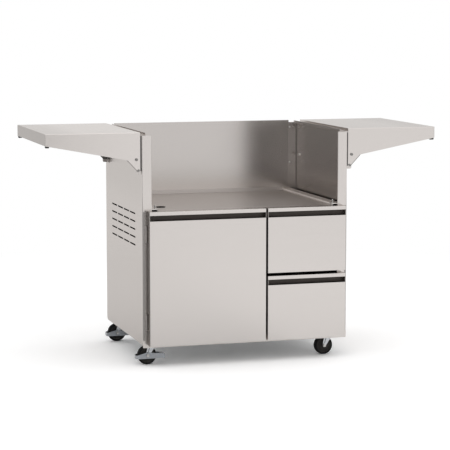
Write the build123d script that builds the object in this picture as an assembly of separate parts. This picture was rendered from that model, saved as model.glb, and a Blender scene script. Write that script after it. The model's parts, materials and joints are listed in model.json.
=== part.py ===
from build123d import *
import os

# Stainless steel grill cart: an open bay for a grill head over a door and two drawers,
# with a folding shelf at each side, on four swivel casters. Millimetres, +Z up.
# The origin is on the floor under the middle of the cabinet, and the front faces -Y.

# Cabinet
BODY_WIDTH = 840.0       # outside faces of the two side panels
BODY_DEPTH = 620.0       # front faces of the posts to the outside of the back panel
PANEL_BOTTOM = 86.0      # lower edge of the side panels
POST_TOP = 902.0         # upper edge of the side panels
BACK_RISE = 9.0          # back panel above the side panels
BACK_MARGIN = 6.0        # back panel's edge, in from the outside of the cabinet
BACK_LAP = 2.5           # its raised top's lap over each rear flange
BACK_HEM = 12.0          # hem down the front of its top edge
HEM_CLEAR = 0.5          # hem from each rear flange
SHEET = 1.5              # cabinet sheet
BEND = 2.5               # bend radius of folded sheet
POST_WIDTH = 39.0        # front flange of a side panel, seen as a post
POST_RETURN = 15.0       # the post's inner edge, turned back beside the grill bay
REAR_FLANGE = 39.0       # rear flange of a side panel
CORNER_SEAM = 5.0        # post and rear corner, along the wall to their welded seams
TOP_STRIP = 22.0         # strip inside the upper edge of a side panel, with the sheet
TOP_STRIP_SHORT = 25.0   # it stops this far from each end
CORNER_CUT = 12.0        # rear lower corner of a side panel, cut off

# Vent slots in the side panels
VENT_ROWS = 5
VENT_COLUMNS = 4
VENT_LENGTH = 88.0
VENT_HEIGHT = 6.0
VENT_PITCH = 103.0       # along a row
VENT_ROW_PITCH = 31.0
VENT_BELOW_DECK = 82.0   # middle of the pattern, below the deck
VENT_SETBACK = 1.0       # middle of the pattern, behind the middle of the panel

# Deck of the grill bay
DECK_TOP = 609.0
DECK_LIP = 7.0           # upturned side edges
DECK_APRON = 20.0        # downturned front edge
DECK_BACK_LIP = 15.0     # upturned rear edge
GAS_HOLE_RADIUS = 15.0
GAS_HOLE_INSET = 47.0    # from the deck's left edge
GAS_HOLE_BACK = 131.0    # from the front of the posts
RAIL_WALL_GAP = 15.5     # open slot between a deck rail and the side panel
RAIL_FLANGE = 44.0       # upper face of a rail, level with the deck's side edges
RAIL_LAP = 19.0          # how far a rail runs in under the deck
RAIL_CLEAR = 0.3         # between a rail and the deck's side edge
RAIL_WEB = 38.0
RAIL_TAB = 20.0          # width of the end tabs, fixed to the posts
GRILL_HOLE_RADIUS = 4.5
GRILL_HOLE_INSET = 20.0  # from a rail's outer face
GRILL_HOLE_FRONT = 215.0
GRILL_HOLE_SPACING = 250.0

# Hold-down plates on the deck's edges, with studs that locate the grill head
CLIP_WIDTH = 15.0
CLIP_BACK = 8.0          # from the front of the posts
CLIP_FOOT = 20.0         # outward from the deck's edge, over the rail
CLIP_REACH = 5.0         # inward, over the deck
CLIP_ROUND = 3.0
STUD_RADIUS = 3.0
STUD_HEIGHT = 16.0
STUD_OUT = 6.5           # from the deck's edge
STUD_ROUND = 1.5

# Base
CASTER_HEIGHT = 100.0    # floor to the underside of the base
BASE_FLANGE = 20.0
LEDGE_DROP = 12.5        # front ledge below the side panels
LEDGE_HEM = 8.0          # turned back under its lower edge
LEDGE_ROUND = 5.0        # its lower corners

# Door and drawer fronts
FRONT_GAP = 3.0          # between the posts and the back of a front
FRONT_THICK = 40.0
FRONT_INSET = 19.0       # from the outside of the cabinet
FRONT_OVER_DECK = 1.0
FRONT_BOTTOM = 85.0
DOOR_WIDTH = 470.0
SPLIT_GAP = 8.0          # between the door and the drawers
DRAWER_GAP = 12.0        # between the two drawer fronts
SKIN = 1.2               # sheet of fronts and drawer boxes
SKIN_ROUND = 1.0         # rounded outer edges
PULL_LIP = 14.0          # lip above the finger pull
PULL_HEIGHT = 22.0
PULL_DEPTH = 25.0

# Divider and front cross rail
DIVIDER_BACK = 25.0      # front edge of the divider, behind the front of the posts
DIVIDER_FLANGE = 15.0
DIVIDER_REAR_GAP = 8.0   # in front of the back panel
CROSS_DEPTH = 20.0
CROSS_HEIGHT = 40.0

# Door hinges, catch and strike
HINGE_OFFSET = 4.0       # pin, outside the door's edge
HINGE_FORWARD = 3.6      # pin, in front of the posts
HINGE_PIN_RADIUS = 1.5
HINGE_BARREL_RADIUS = 3.0
HINGE_HEIGHT = 60.0
HINGE_KNUCKLE = 24.0     # middle knuckle, on the door
HINGE_LEAF = 18.0
HINGE_STEEL = 1.2
HINGE_END = 90.0         # middle of a hinge, from the door's upper or lower edge
PIN_CLEAR = 0.05         # radial, round every pin, axle and bolt
KNUCKLE_CLEAR = 0.4
MAGNET_WIDTH = 26.0
MAGNET_HEIGHT = 14.0
MAGNET_EDGE = 30.0       # middle of the magnet, from the door's free edge
STRIKE_STEEL = 0.6
STRIKE_MARGIN = 4.0      # strike plate, past the magnet all round
STRIKE_CLEAR = 0.3

# Drawers and their telescopic slides
BOX_LENGTH = 490.0
BOX_HEIGHT = 165.0
BOX_RISE = 25.0          # box above the lower edge of its front
SLIDE_DEPTH = 12.7
SLIDE_HEIGHT = 45.0
SLIDE_LENGTH = 457.0
SLIDE_BACK = 27.0        # behind the front of the posts
SLIDE_RISE = 60.0        # middle of a slide above the underside of its box
SLIDE_STEEL = 1.2
SLIDE_CLEAR = 0.4
HAT_HEIGHT = 56.0        # support rail between a slide and the right side panel
HAT_FLANGE = 14.0
HAT_PAST_SLIDE = 6.0

# Folding side shelves
SHELF_RISE = 12.0        # shelf tops above the side panels
SHELF_LENGTH = 370.0
SHELF_DEPTH = 587.0
SHELF_GAP = 5.5          # from the side panel
SHELF_SETBACK = 4.0      # front skirt behind the front of the posts
SHELF_END_SKIRT = 45.0
SHELF_ROOT_SKIRT = 105.0
SHELF_ROOT = 54.0        # where the skirt turns down into its ear
SHELF_INNER_EDGE = 12.0  # downturned inner edge
SHELF_HEM = 16.0         # turned in under the outer skirt
SHELF_ROUND = 2.0
PIVOT_DROP = 146.0       # pivot pin below the shelf's top
PIVOT_IN = 6.5           # pivot pin from the shelf's inner end
EAR_RADIUS = 6.5
PIVOT_RADIUS = 3.0
PIVOT_HEAD_RADIUS = 4.5
PIVOT_HEAD = 2.5
LOCK_DROP = 104.0        # lock bolt below the shelf's top
LOCK_IN = 15.0
LOCK_RADIUS = 3.0
LOCK_HEAD_RADIUS = 5.5
LOCK_HEAD = 3.5
LOCK_NOTCH_CLEAR = 0.5
STIFFENER_WIDTH = 40.0
STIFFENER_DEPTH = 22.0
STIFFENER_FLANGE = 12.0
BUMPER_WIDTH = 14.0
BUMPER_HEIGHT = 8.0
BUMPER_INSET = 2.0       # from the outside of the skirts

# Shelf brackets, angles bolted to the side panels
BRACKET_STEEL = 2.5
BRACKET_WIDTH = 30.0
BRACKET_TOP_DROP = 16.0  # bracket's upper end below the shelf's top
BRACKET_BELOW = 15.0     # below the pivot pin
BRACKET_CLEAR = 0.3      # between a bracket's flange and the shelf's ear
BOLT_RADIUS = 3.0
BOLT_HEAD_RADIUS = 5.0
BOLT_HEAD = 2.5
NUT_RADIUS = 5.8
NUT_HEIGHT = 5.0
BOLT_END = 12.0          # from the ends of a bracket

# Casters
STEM_INSET = 53.0        # swivel axis from the outside faces of the cabinet
TRAIL = 25.0             # axle behind the swivel axis
WHEEL_RADIUS = 37.5
WHEEL_WIDTH = 24.0
TYRE_THICK = 7.0
TYRE_ROUND = 4.0
HUB_RADIUS = 11.0
WEB_THICK = 7.0          # wheel core between hub and rim
RIM_THICK = 4.0
AXLE_RADIUS = 4.0
AXLE_HEAD_RADIUS = 5.5
AXLE_HEAD = 4.0
HUB_CLEAR = 0.3          # between the hub and the fork
WHEEL_CLEAR = 2.0        # between the tyre and the fork
FORK_STEEL = 2.5
FORK_BOSS_RADIUS = 6.5
CREASE_WIDTH = 7.0       # crease pressed down each leg of a fork
CREASE_DEPTH = 1.5
CREASE_END = 3.0         # from the crown and from the boss
CROWN_RADIUS = 24.0
CROWN_HEIGHT = 3.0
RACE_RADIUS = 20.0
RACE_CLEAR = 0.3
PLATE_SIZE = 80.0
PLATE_STEEL = 2.5
PLATE_ROUND = 8.0
RACE_DROP = 2.5          # ball race below the plate
KING_PIN_RADIUS = 6.0
KING_HEAD_RADIUS = 9.0
KING_HEAD = 3.0
BAIL_STEEL = 2.0
BAIL_ROUND = 8.0
BAIL_BELOW = 13.0        # lower edge, below the axle
BAIL_PEAK = 11.0         # upper edge beside the axle
BAIL_TREAD = 4.0         # pedal plate above the axle
BAIL_RIBS = 4            # across the pedal plate
BAIL_RIB = 1.6
BAIL_SHORT = 46.0        # axle to the outside of the short end
BAIL_LONG = 72.0         # axle to the outside of the pedal end
BAIL_PEDAL = 18.0        # length of the pedal plate
BAIL_CLEAR = 0.5         # between the bail and the fork

# Places worked out from the sizes above
half_width = BODY_WIDTH / 2
wall_inside = half_width - SHEET
front_proud = FRONT_GAP + FRONT_THICK
post_front = -(BODY_DEPTH - front_proud) / 2
body_rear = post_front + BODY_DEPTH
panel_rear = body_rear - SHEET
front_back = post_front - FRONT_GAP
front_face = post_front - front_proud
deck_under = DECK_TOP - SHEET
lip_top = DECK_TOP + DECK_LIP
deck_front = post_front + SHEET
rail_top = deck_under
rail_outer = wall_inside - RAIL_WALL_GAP
deck_edge = rail_outer - RAIL_FLANGE
rail_inner = deck_edge - RAIL_LAP
front_top = DECK_TOP + FRONT_OVER_DECK
base_top = CASTER_HEIGHT + SHEET
door_left = FRONT_INSET - half_width
door_right = door_left + DOOR_WIDTH
drawer_left = door_right + SPLIT_GAP
drawer_right = half_width - FRONT_INSET
divider_right = door_right + (SPLIT_GAP + SHEET) / 2
slide_wall_right = half_width - POST_WIDTH
drawer_height = (front_top - FRONT_BOTTOM - DRAWER_GAP) / 2
cross_top = rail_top - SHEET
cross_bottom = cross_top - CROSS_HEIGHT
cross_front = deck_front + SHEET
shelf_top = POST_TOP + SHELF_RISE
shelf_inner = half_width + SHELF_GAP
shelf_outer = shelf_inner + SHELF_LENGTH
shelf_front = post_front + SHELF_SETBACK
shelf_rear = shelf_front + SHELF_DEPTH
pivot_x = shelf_inner + PIVOT_IN
pivot_z = shelf_top - PIVOT_DROP
lock_x = shelf_inner + LOCK_IN
lock_z = shelf_top - LOCK_DROP
fork_inside = WHEEL_WIDTH / 2 + WHEEL_CLEAR
fork_outside = fork_inside + FORK_STEEL
race_bottom = CASTER_HEIGHT - PLATE_STEEL - RACE_DROP
crown_top = race_bottom - RACE_CLEAR
crown_bottom = crown_top - CROWN_HEIGHT


# Helpers

def block(x, y, z):
    """Box between two limits on each axis."""
    limits = (x, y, z)
    sizes = [high - low for low, high in limits]
    middle = [(low + high) / 2 for low, high in limits]
    return Pos(*middle) * Box(*sizes)


def panel_face(x, y):
    """Flat rectangle between two limits on each of its axes."""
    return Pos((x[0] + x[1]) / 2, (y[0] + y[1]) / 2) * Rectangle(x[1] - x[0], y[1] - y[0])


def along_x(face, low, high):
    """Extrude a face drawn as (y, z)."""
    return extrude(Plane.YZ.offset(low) * face, high - low, dir=(1, 0, 0))


def along_y(face, low, high):
    """Extrude a face drawn as (x, z)."""
    return extrude(Plane.XZ.offset(-low) * face, high - low, dir=(0, 1, 0))


def along_z(face, low, high):
    """Extrude a face drawn as (x, y)."""
    return extrude(Plane.XY.offset(low) * face, high - low, dir=(0, 0, 1))


def folded(points, steel, side=Side.RIGHT):
    """Section of a sheet folded along points, with its thickness on one side of them."""
    return make_face(offset(FilletPolyline(*points, radius=BEND), steel, side=side))


def rod_x(radius, y, z, low, high):
    return along_x(Pos(y, z) * Circle(radius), low, high)


def rod_y(radius, x, z, low, high):
    return along_y(Pos(x, z) * Circle(radius), low, high)


def rod_z(radius, x, y, low, high):
    return along_z(Pos(x, y) * Circle(radius), low, high)


def other_side(shape):
    """The same piece on the other side of the cart."""
    return mirror(shape, about=Plane.YZ)


def both_sides(shapes):
    return list(shapes) + [other_side(shape) for shape in shapes]


def save(name, *solids):
    """Write one named piece, or a group of like pieces."""
    pieces = [solid for shape in solids for solid in shape.solids()]
    shape = pieces[0] if len(pieces) == 1 else Compound(children=pieces)
    shape.label = name
    export_step(shape, f"parts/{name}.step")


# Cabinet shell

def bracket_spans():
    """Front and rear limits of the two brackets on one side, and their pivot flanges."""
    flange_gap = SHEET + BRACKET_CLEAR
    front = shelf_front + flange_gap
    rear = shelf_rear - flange_gap
    front_bracket = ((front, front + BRACKET_WIDTH), (front, front + BRACKET_STEEL))
    rear_bracket = ((rear - BRACKET_WIDTH, rear), (rear - BRACKET_STEEL, rear))
    return front_bracket, rear_bracket


def bracket_bolt_places():
    """(y, z) of the bolts of one side's brackets."""
    top = shelf_top - BRACKET_TOP_DROP - BOLT_END
    bottom = pivot_z - BRACKET_BELOW + BOLT_END
    middles = [sum(plate) / 2 for plate, flange in bracket_spans()]
    return [(y, z) for y in middles for z in (bottom, top)]


def side_panel():
    """Wall, front post, rear corner and upturned top strip of the right side, welded along their seams."""
    post_inside = half_width - POST_WIDTH
    rear_inside = half_width - REAR_FLANGE
    front_seam = post_front + CORNER_SEAM
    rear_seam = panel_rear - CORNER_SEAM
    return_start = lip_top + STUD_HEIGHT
    post_corners = [(post_inside, post_front), (half_width, post_front), (half_width, front_seam)]
    turned_edge = [(post_inside, post_front + POST_RETURN)]
    post = along_z(folded(post_corners, SHEET, Side.LEFT), PANEL_BOTTOM, return_start)
    post += along_z(folded(turned_edge + post_corners, SHEET, Side.LEFT), return_start, POST_TOP)
    rear_corners = [(half_width, rear_seam), (half_width, panel_rear), (rear_inside, panel_rear)]
    rear = along_z(folded(rear_corners, SHEET, Side.LEFT), PANEL_BOTTOM, POST_TOP)
    wall = block((wall_inside, half_width), (front_seam, rear_seam), (PANEL_BOTTOM, POST_TOP))
    corner = Polygon((panel_rear, PANEL_BOTTOM), (panel_rear, PANEL_BOTTOM + CORNER_CUT),
                     (panel_rear - CORNER_CUT, PANEL_BOTTOM), align=None)
    cut_corner = along_x(corner, rear_inside, half_width)
    rear -= cut_corner
    wall -= cut_corner
    vent_middle = (post_front + panel_rear) / 2 + VENT_SETBACK
    vent_height = DECK_TOP - VENT_BELOW_DECK
    with_slots = Pos(vent_middle, vent_height) * GridLocations(
        VENT_PITCH, VENT_ROW_PITCH, VENT_COLUMNS, VENT_ROWS)
    slots = [place * SlotOverall(VENT_LENGTH, VENT_HEIGHT) for place in with_slots]
    wall -= [along_x(slot, wall_inside - SHEET, half_width + SHEET) for slot in slots]
    wall -= [rod_x(BOLT_RADIUS + PIN_CLEAR, y, z, wall_inside - SHEET, half_width + SHEET)
             for y, z in bracket_bolt_places()]
    strip_inside = half_width - TOP_STRIP
    strip_points = [(wall_inside, POST_TOP - SHEET), (strip_inside, POST_TOP - SHEET),
                    (strip_inside, POST_TOP + BACK_RISE)]
    top_strip = along_y(folded(strip_points, SHEET), post_front + TOP_STRIP_SHORT, panel_rear - TOP_STRIP_SHORT)
    return wall, post, rear, top_strip


def back_panel():
    """Sheet behind the rear flanges, and the hem that stiffens its top edge."""
    edge = half_width - BACK_MARGIN
    raised_edge = half_width - REAR_FLANGE + BACK_LAP
    face = panel_face((-edge, edge), (PANEL_BOTTOM + CORNER_CUT, POST_TOP - SHEET))
    face += panel_face((-raised_edge, raised_edge), (PANEL_BOTTOM + CORNER_CUT, POST_TOP + BACK_RISE))
    sheet = along_y(face, panel_rear, body_rear)
    hem_edge = half_width - REAR_FLANGE - HEM_CLEAR
    top = POST_TOP + BACK_RISE
    hem = block((-hem_edge, hem_edge), (panel_rear - SHEET, panel_rear), (top - BACK_HEM, top))
    return sheet, hem


def base_pan():
    points = [(-wall_inside, base_top + BASE_FLANGE), (-wall_inside, CASTER_HEIGHT),
              (wall_inside, CASTER_HEIGHT), (wall_inside, base_top + BASE_FLANGE)]
    return along_y(folded(points, SHEET, Side.LEFT), post_front + BEND, panel_rear - BEND)


def base_front_ledge():
    """Front edge of the base, laid on the posts and hemmed below them."""
    face = post_front - SHEET
    limits = (PANEL_BOTTOM - LEDGE_DROP, base_top + SHEET)
    points = [(face, limits[1]), (face, limits[0]), (face + LEDGE_HEM, limits[0])]
    ledge = along_x(folded(points, SHEET, Side.LEFT), -half_width, half_width)
    outline = panel_face((-half_width, half_width), limits)
    outline = fillet(outline.vertices().sort_by(Axis.Y)[:2], LEDGE_ROUND)
    return ledge & along_y(outline, face, face + LEDGE_HEM)


def divider_panel():
    left = divider_right - SHEET
    tip = left + DIVIDER_FLANGE
    points = [(tip, base_top), (left, base_top), (left, deck_under), (tip, deck_under)]
    return along_y(folded(points, SHEET), post_front + DIVIDER_BACK, panel_rear - DIVIDER_REAR_GAP)


def front_cross_rail():
    end = rail_outer - BEND
    rear = cross_front + CROSS_DEPTH
    points = [(rear, cross_bottom), (cross_front, cross_bottom), (cross_front, cross_top), (rear, cross_top)]
    return along_x(folded(points, SHEET), -end, end)


# Deck of the grill bay

def deck_pan():
    points = [(-deck_edge, lip_top), (-deck_edge, deck_under), (deck_edge, deck_under), (deck_edge, lip_top)]
    pan = along_y(folded(points, SHEET, Side.LEFT), deck_front, panel_rear)
    pan += block((-rail_inner, rail_inner), (deck_front, deck_front + SHEET), (DECK_TOP - DECK_APRON, DECK_TOP))
    inside = deck_edge - BEND
    pan += block((-inside, inside), (panel_rear - SHEET, panel_rear), (deck_under, DECK_TOP + DECK_BACK_LIP))
    hole_x = GAS_HOLE_INSET - deck_edge
    return pan - rod_z(GAS_HOLE_RADIUS, hole_x, post_front + GAS_HOLE_BACK, deck_under, DECK_TOP)


def deck_rail():
    """Rail stepped up from under the deck to the level of its side edge, hollow towards the front."""
    front = post_front + SHEET
    rear = panel_rear - SHEET
    step = deck_edge + RAIL_CLEAR
    points = [(rail_inner, rail_top), (step, rail_top), (step, lip_top),
              (rail_outer, lip_top), (rail_outer, lip_top - RAIL_WEB)]
    rail = along_y(folded(points, SHEET), front, rear)
    tab_x = (rail_outer - RAIL_TAB, rail_outer - SHEET / 2)
    tab_z = (lip_top - RAIL_WEB, lip_top - SHEET / 2)
    rail += block(tab_x, (front, front + SHEET), tab_z)
    rail += block(tab_x, (rear - SHEET, rear), tab_z)
    hole_x = rail_outer - GRILL_HOLE_INSET
    for y in (GRILL_HOLE_FRONT, GRILL_HOLE_FRONT + GRILL_HOLE_SPACING):
        rail -= rod_z(GRILL_HOLE_RADIUS, hole_x, post_front + y, lip_top - SHEET, lip_top)
    return rail


def deck_clip():
    front = post_front + CLIP_BACK
    rear = front + CLIP_WIDTH
    plate = panel_face((deck_edge - CLIP_REACH, deck_edge + CLIP_FOOT), (front, rear))
    clip = along_z(fillet(plate.vertices(), CLIP_ROUND), lip_top, lip_top + SHEET)
    stud = rod_z(STUD_RADIUS, deck_edge + STUD_OUT, (front + rear) / 2, lip_top + SHEET, lip_top + STUD_HEIGHT)
    return clip, fillet(stud.edges().sort_by(Axis.Z)[-1], STUD_ROUND)


# Door and drawer fronts

def front_pieces(x, z):
    """Skin, finger-pull channel and liner of a front between the limits x and z."""
    inside_x = (x[0] + SKIN, x[1] - SKIN)
    inside_z = (z[0] + SKIN, z[1] - SKIN)
    pull_z = (z[1] - PULL_LIP - PULL_HEIGHT, z[1] - PULL_LIP)
    shell = fillet(block(x, (front_face, front_back), z).faces().sort_by(Axis.Y)[0].edges(), SKIN_ROUND)
    shell -= block(inside_x, (front_face + SKIN, front_back), inside_z)
    shell -= block(inside_x, (front_face, front_face + SKIN), pull_z)
    behind = front_face + SKIN
    deep = front_face + PULL_DEPTH
    points = [(behind, pull_z[1]), (deep, pull_z[1]), (deep, pull_z[0]), (behind, pull_z[0])]
    channel = along_x(folded(points, SKIN, Side.LEFT), *inside_x)
    liner = block(inside_x, (front_back - SKIN, front_back), inside_z)
    return shell, channel, liner


def door_hinge(middle):
    """Fixed leaf, door leaf and pin of one butt hinge, at height middle."""
    pin_x = door_left - HINGE_OFFSET
    pin_y = post_front - HINGE_FORWARD
    ends = (middle - HINGE_HEIGHT / 2, middle + HINGE_HEIGHT / 2)
    knuckle = (middle - HINGE_KNUCKLE / 2, middle + HINGE_KNUCKLE / 2)
    barrel = rod_z(HINGE_BARREL_RADIUS, pin_x, pin_y, *ends)
    gap = (knuckle[0] - KNUCKLE_CLEAR, knuckle[1] + KNUCKLE_CLEAR)
    near_pin = (pin_x - HINGE_BARREL_RADIUS, door_left)
    round_pin = (pin_y - HINGE_BARREL_RADIUS, post_front)
    leaf_x = (pin_x, door_left + HINGE_LEAF)
    fixed = barrel + block(leaf_x, (post_front - HINGE_STEEL, post_front), ends)
    fixed -= block(near_pin, round_pin, gap)
    moving = rod_z(HINGE_BARREL_RADIUS, pin_x, pin_y, *knuckle)
    moving += block(leaf_x, (front_back, front_back + HINGE_STEEL), knuckle)
    moving += block((door_left, leaf_x[1]), (front_back, front_back + HINGE_STEEL), ends)
    bore = rod_z(HINGE_PIN_RADIUS + PIN_CLEAR, pin_x, pin_y, *ends)
    pin = rod_z(HINGE_PIN_RADIUS, pin_x, pin_y, *ends)
    pin += rod_z(HINGE_BARREL_RADIUS, pin_x, pin_y, ends[1], ends[1] + HINGE_STEEL)
    pin += rod_z(HINGE_BARREL_RADIUS, pin_x, pin_y, ends[0] - HINGE_STEEL, ends[0])
    return fixed - bore, moving - bore, pin


def door_catch():
    """Magnet under the cross rail, and the strike plate that it meets on the door."""
    middle = door_right - MAGNET_EDGE
    magnet_x = (middle - MAGNET_WIDTH / 2, middle + MAGNET_WIDTH / 2)
    magnet_z = (cross_bottom - MAGNET_HEIGHT, cross_bottom)
    strike_back = front_back + STRIKE_STEEL
    magnet = block(magnet_x, (strike_back + STRIKE_CLEAR, cross_front + CROSS_DEPTH), magnet_z)
    magnet = fillet(magnet.edges().filter_by(Axis.Y), SKIN_ROUND)
    strike = block((magnet_x[0] - STRIKE_MARGIN, magnet_x[1] + STRIKE_MARGIN), (front_back, strike_back),
                   (magnet_z[0] - STRIKE_MARGIN, magnet_z[1] + STRIKE_MARGIN))
    return magnet, strike


# Drawer boxes and slides

def drawer_box(bottom):
    """Two side sheets, a front and a back sheet between them, and the floor inside all four."""
    left, right = divider_right + SLIDE_DEPTH, slide_wall_right - SLIDE_DEPTH
    front, rear = front_back, front_back + BOX_LENGTH
    height = (bottom, bottom + BOX_HEIGHT)
    across = (left + SKIN, right - SKIN)
    sheets = [block(x, (front, rear), height) for x in ((left, left + SKIN), (right - SKIN, right))]
    sheets += [block(across, (front, front + SKIN), height), block(across, (rear - SKIN, rear), height)]
    return sheets + [block(across, (front + SKIN, rear - SKIN), (bottom, bottom + SKIN))]


def slide_channel(web, mouth, half_height):
    """Section of a slide member: a channel with its web at one depth, open at the other."""
    inward = SLIDE_STEEL if mouth > web else -SLIDE_STEEL
    whole = panel_face((min(web, mouth), max(web, mouth)), (-half_height, half_height))
    clear = sorted((web + inward, mouth))
    lip = half_height - SLIDE_STEEL
    return whole - panel_face(clear, (-lip, lip))


def slide_members(middle):
    """Outer, middle and inner members of one drawer's two slides, at height middle."""
    step = SLIDE_STEEL + SLIDE_CLEAR
    half = SLIDE_HEIGHT / 2
    outer = slide_channel(0, SLIDE_DEPTH - 2 * step, half)
    centre = slide_channel(step, SLIDE_DEPTH - step, half - step)
    inner = slide_channel(SLIDE_DEPTH, 2 * step, half - 2 * step)
    front = post_front + SLIDE_BACK
    members = []
    for section in (outer, centre, inner):
        left = Pos(divider_right, middle) * section
        right = Pos(slide_wall_right, middle) * mirror(section, about=Plane.YZ)
        members.append([along_y(face, front, front + SLIDE_LENGTH) for face in (left, right)])
    return members


def slide_support_rail(middle):
    """Hat section that carries a slide on the right side panel."""
    half = HAT_HEIGHT / 2
    low = middle - half
    high = middle + half
    crown = slide_wall_right + SHEET
    points = [(wall_inside, low - HAT_FLANGE), (wall_inside, low), (crown, low),
              (crown, high), (wall_inside, high), (wall_inside, high + HAT_FLANGE)]
    front = post_front + SLIDE_BACK - HAT_PAST_SLIDE
    return along_y(folded(points, SHEET, Side.LEFT), front, front + SLIDE_LENGTH + 2 * HAT_PAST_SLIDE)


# Folding shelf on the right, with its brackets

def shelf_pan():
    root_z = shelf_top - SHELF_ROOT_SKIRT
    root = (shelf_inner + SHELF_ROOT, root_z)
    skirt = Polygon((shelf_inner, shelf_top), (shelf_inner, root_z), root,
                    (shelf_outer, shelf_top - SHELF_END_SKIRT), (shelf_outer, shelf_top), align=None)
    tip = Pos(pivot_x, pivot_z) * Circle(EAR_RADIUS)
    ear = make_hull([Line((shelf_inner, root_z), root).edge()] + list(tip.edges()))
    pan = along_y(skirt + ear, shelf_front, shelf_rear)
    top_edges = pan.faces().sort_by(Axis.Z)[-1].edges().sort_by(Axis.X)[1:]
    pan = fillet(top_edges, SHELF_ROUND)
    within = (shelf_front + SHEET, shelf_rear - SHEET)
    pan -= block((shelf_inner, shelf_outer - SHEET), within, (pivot_z - EAR_RADIUS, shelf_top - SHEET))
    pan += block((shelf_inner, shelf_inner + SHEET), within, (shelf_top - SHELF_INNER_EDGE, shelf_top - SHEET))
    hem_z = shelf_top - SHELF_END_SKIRT
    pan += block((shelf_outer - SHELF_HEM, shelf_outer - SHEET), within, (hem_z, hem_z + SHEET))
    pan -= rod_y(PIVOT_RADIUS + PIN_CLEAR, pivot_x, pivot_z, shelf_front, shelf_rear)
    return pan - rod_y(LOCK_RADIUS, lock_x, lock_z, shelf_front, shelf_rear)


def shelf_stiffener():
    top = shelf_top - SHEET
    bottom = top - STIFFENER_DEPTH
    left = (shelf_inner + shelf_outer - STIFFENER_WIDTH) / 2
    right = left + STIFFENER_WIDTH
    points = [(left - STIFFENER_FLANGE, top), (left, top), (left, bottom),
              (right, bottom), (right, top), (right + STIFFENER_FLANGE, top)]
    return along_y(folded(points, SHEET), shelf_front + SHEET, shelf_rear - SHEET)


def shelf_bumpers():
    top = shelf_top - SHELF_END_SKIRT
    outer = shelf_outer - BUMPER_INSET
    x = (outer - BUMPER_WIDTH, outer)
    bumpers = []
    for low in (shelf_front + BUMPER_INSET, shelf_rear - BUMPER_INSET - BUMPER_WIDTH):
        bumper = block(x, (low, low + BUMPER_WIDTH), (top - BUMPER_HEIGHT, top))
        below = bumper.faces().sort_by(Axis.Z)[0]
        bumpers.append(fillet(below.edges(), SHELF_ROUND))
    return bumpers


def skirt_pins(radius, head_radius, head, x, z):
    """Front and rear pins through a shelf's skirts and the brackets inside them."""
    reach = SHEET + BRACKET_CLEAR + BRACKET_STEEL
    front = rod_y(radius, x, z, shelf_front, shelf_front + reach)
    front += rod_y(head_radius, x, z, shelf_front - head, shelf_front)
    rear = rod_y(radius, x, z, shelf_rear - reach, shelf_rear)
    rear += rod_y(head_radius, x, z, shelf_rear, shelf_rear + head)
    return [front, rear]


def shelf_pivot_pins():
    """Pivot pins stand off the ears by a small clearance, so that the shelf turns on them."""
    pins = skirt_pins(PIVOT_RADIUS, PIVOT_HEAD_RADIUS, PIVOT_HEAD, pivot_x, pivot_z)
    skirts = ((shelf_front - BRACKET_CLEAR, shelf_front), (shelf_rear, shelf_rear + BRACKET_CLEAR))
    sleeve = Pos(pivot_x, pivot_z) * (Circle(PIVOT_HEAD_RADIUS) - Circle(PIVOT_RADIUS))
    return [pin - along_y(sleeve, *skirt) for pin, skirt in zip(pins, skirts)]


def shelf_brackets():
    top = shelf_top - BRACKET_TOP_DROP
    bottom = pivot_z - BRACKET_BELOW
    plate_face = half_width + BRACKET_STEEL
    notch_radius = LOCK_RADIUS + LOCK_NOTCH_CLEAR
    brackets = []
    for plate, flange in bracket_spans():
        bracket = block((half_width, plate_face), plate, (bottom, top))
        flange_face = panel_face((half_width, lock_x), (bottom, top))
        bracket += along_y(fillet(flange_face.vertices().sort_by(Axis.X)[-2:], EAR_RADIUS), *flange)
        bracket -= rod_y(notch_radius, lock_x, lock_z, *flange)
        bracket -= rod_y(PIVOT_RADIUS + PIN_CLEAR, pivot_x, pivot_z, *flange)
        holes = [(y, z) for y, z in bracket_bolt_places() if plate[0] < y < plate[1]]
        bracket -= [rod_x(BOLT_RADIUS + PIN_CLEAR, y, z, half_width, plate_face) for y, z in holes]
        brackets.append(bracket)
    return brackets


def bracket_bolts():
    plate_face = half_width + BRACKET_STEEL
    bolts = []
    for y, z in bracket_bolt_places():
        bolt = rod_x(BOLT_RADIUS, y, z, wall_inside - NUT_HEIGHT, plate_face)
        bolt += rod_x(BOLT_HEAD_RADIUS, y, z, plate_face, plate_face + BOLT_HEAD)
        nut = Pos(y, z) * RegularPolygon(NUT_RADIUS, 6)
        bolts.append(bolt + along_x(nut, wall_inside - NUT_HEIGHT, wall_inside))
    return bolts


# Casters, drawn with the swivel axis at x = y = 0

def caster_plate():
    square = fillet(Rectangle(PLATE_SIZE, PLATE_SIZE).vertices(), PLATE_ROUND)
    plate = along_z(square, CASTER_HEIGHT - PLATE_STEEL, CASTER_HEIGHT)
    plate += rod_z(RACE_RADIUS, 0, 0, race_bottom, CASTER_HEIGHT - PLATE_STEEL)
    pin_bottom = crown_bottom - RACE_CLEAR
    plate += rod_z(KING_PIN_RADIUS, 0, 0, pin_bottom, race_bottom)
    return plate + rod_z(KING_HEAD_RADIUS, 0, 0, pin_bottom - KING_HEAD, pin_bottom)


def fork_crease(face, inward):
    """V-shaped crease down the outside of a leg, from its crown towards the axle."""
    boss_top = Vector(-TRAIL, face, WHEEL_RADIUS + FORK_BOSS_RADIUS + CREASE_END)
    start = Vector(-TRAIL / 2, face, crown_bottom - CREASE_END)
    down = boss_top - start
    across = Plane(origin=start, x_dir=(0, 1, 0), z_dir=down)
    section = Polygon((0, -CREASE_WIDTH / 2), (inward * CREASE_DEPTH, 0), (0, CREASE_WIDTH / 2), align=None)
    return extrude(across * section, down.length, dir=down.normalized())


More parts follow.
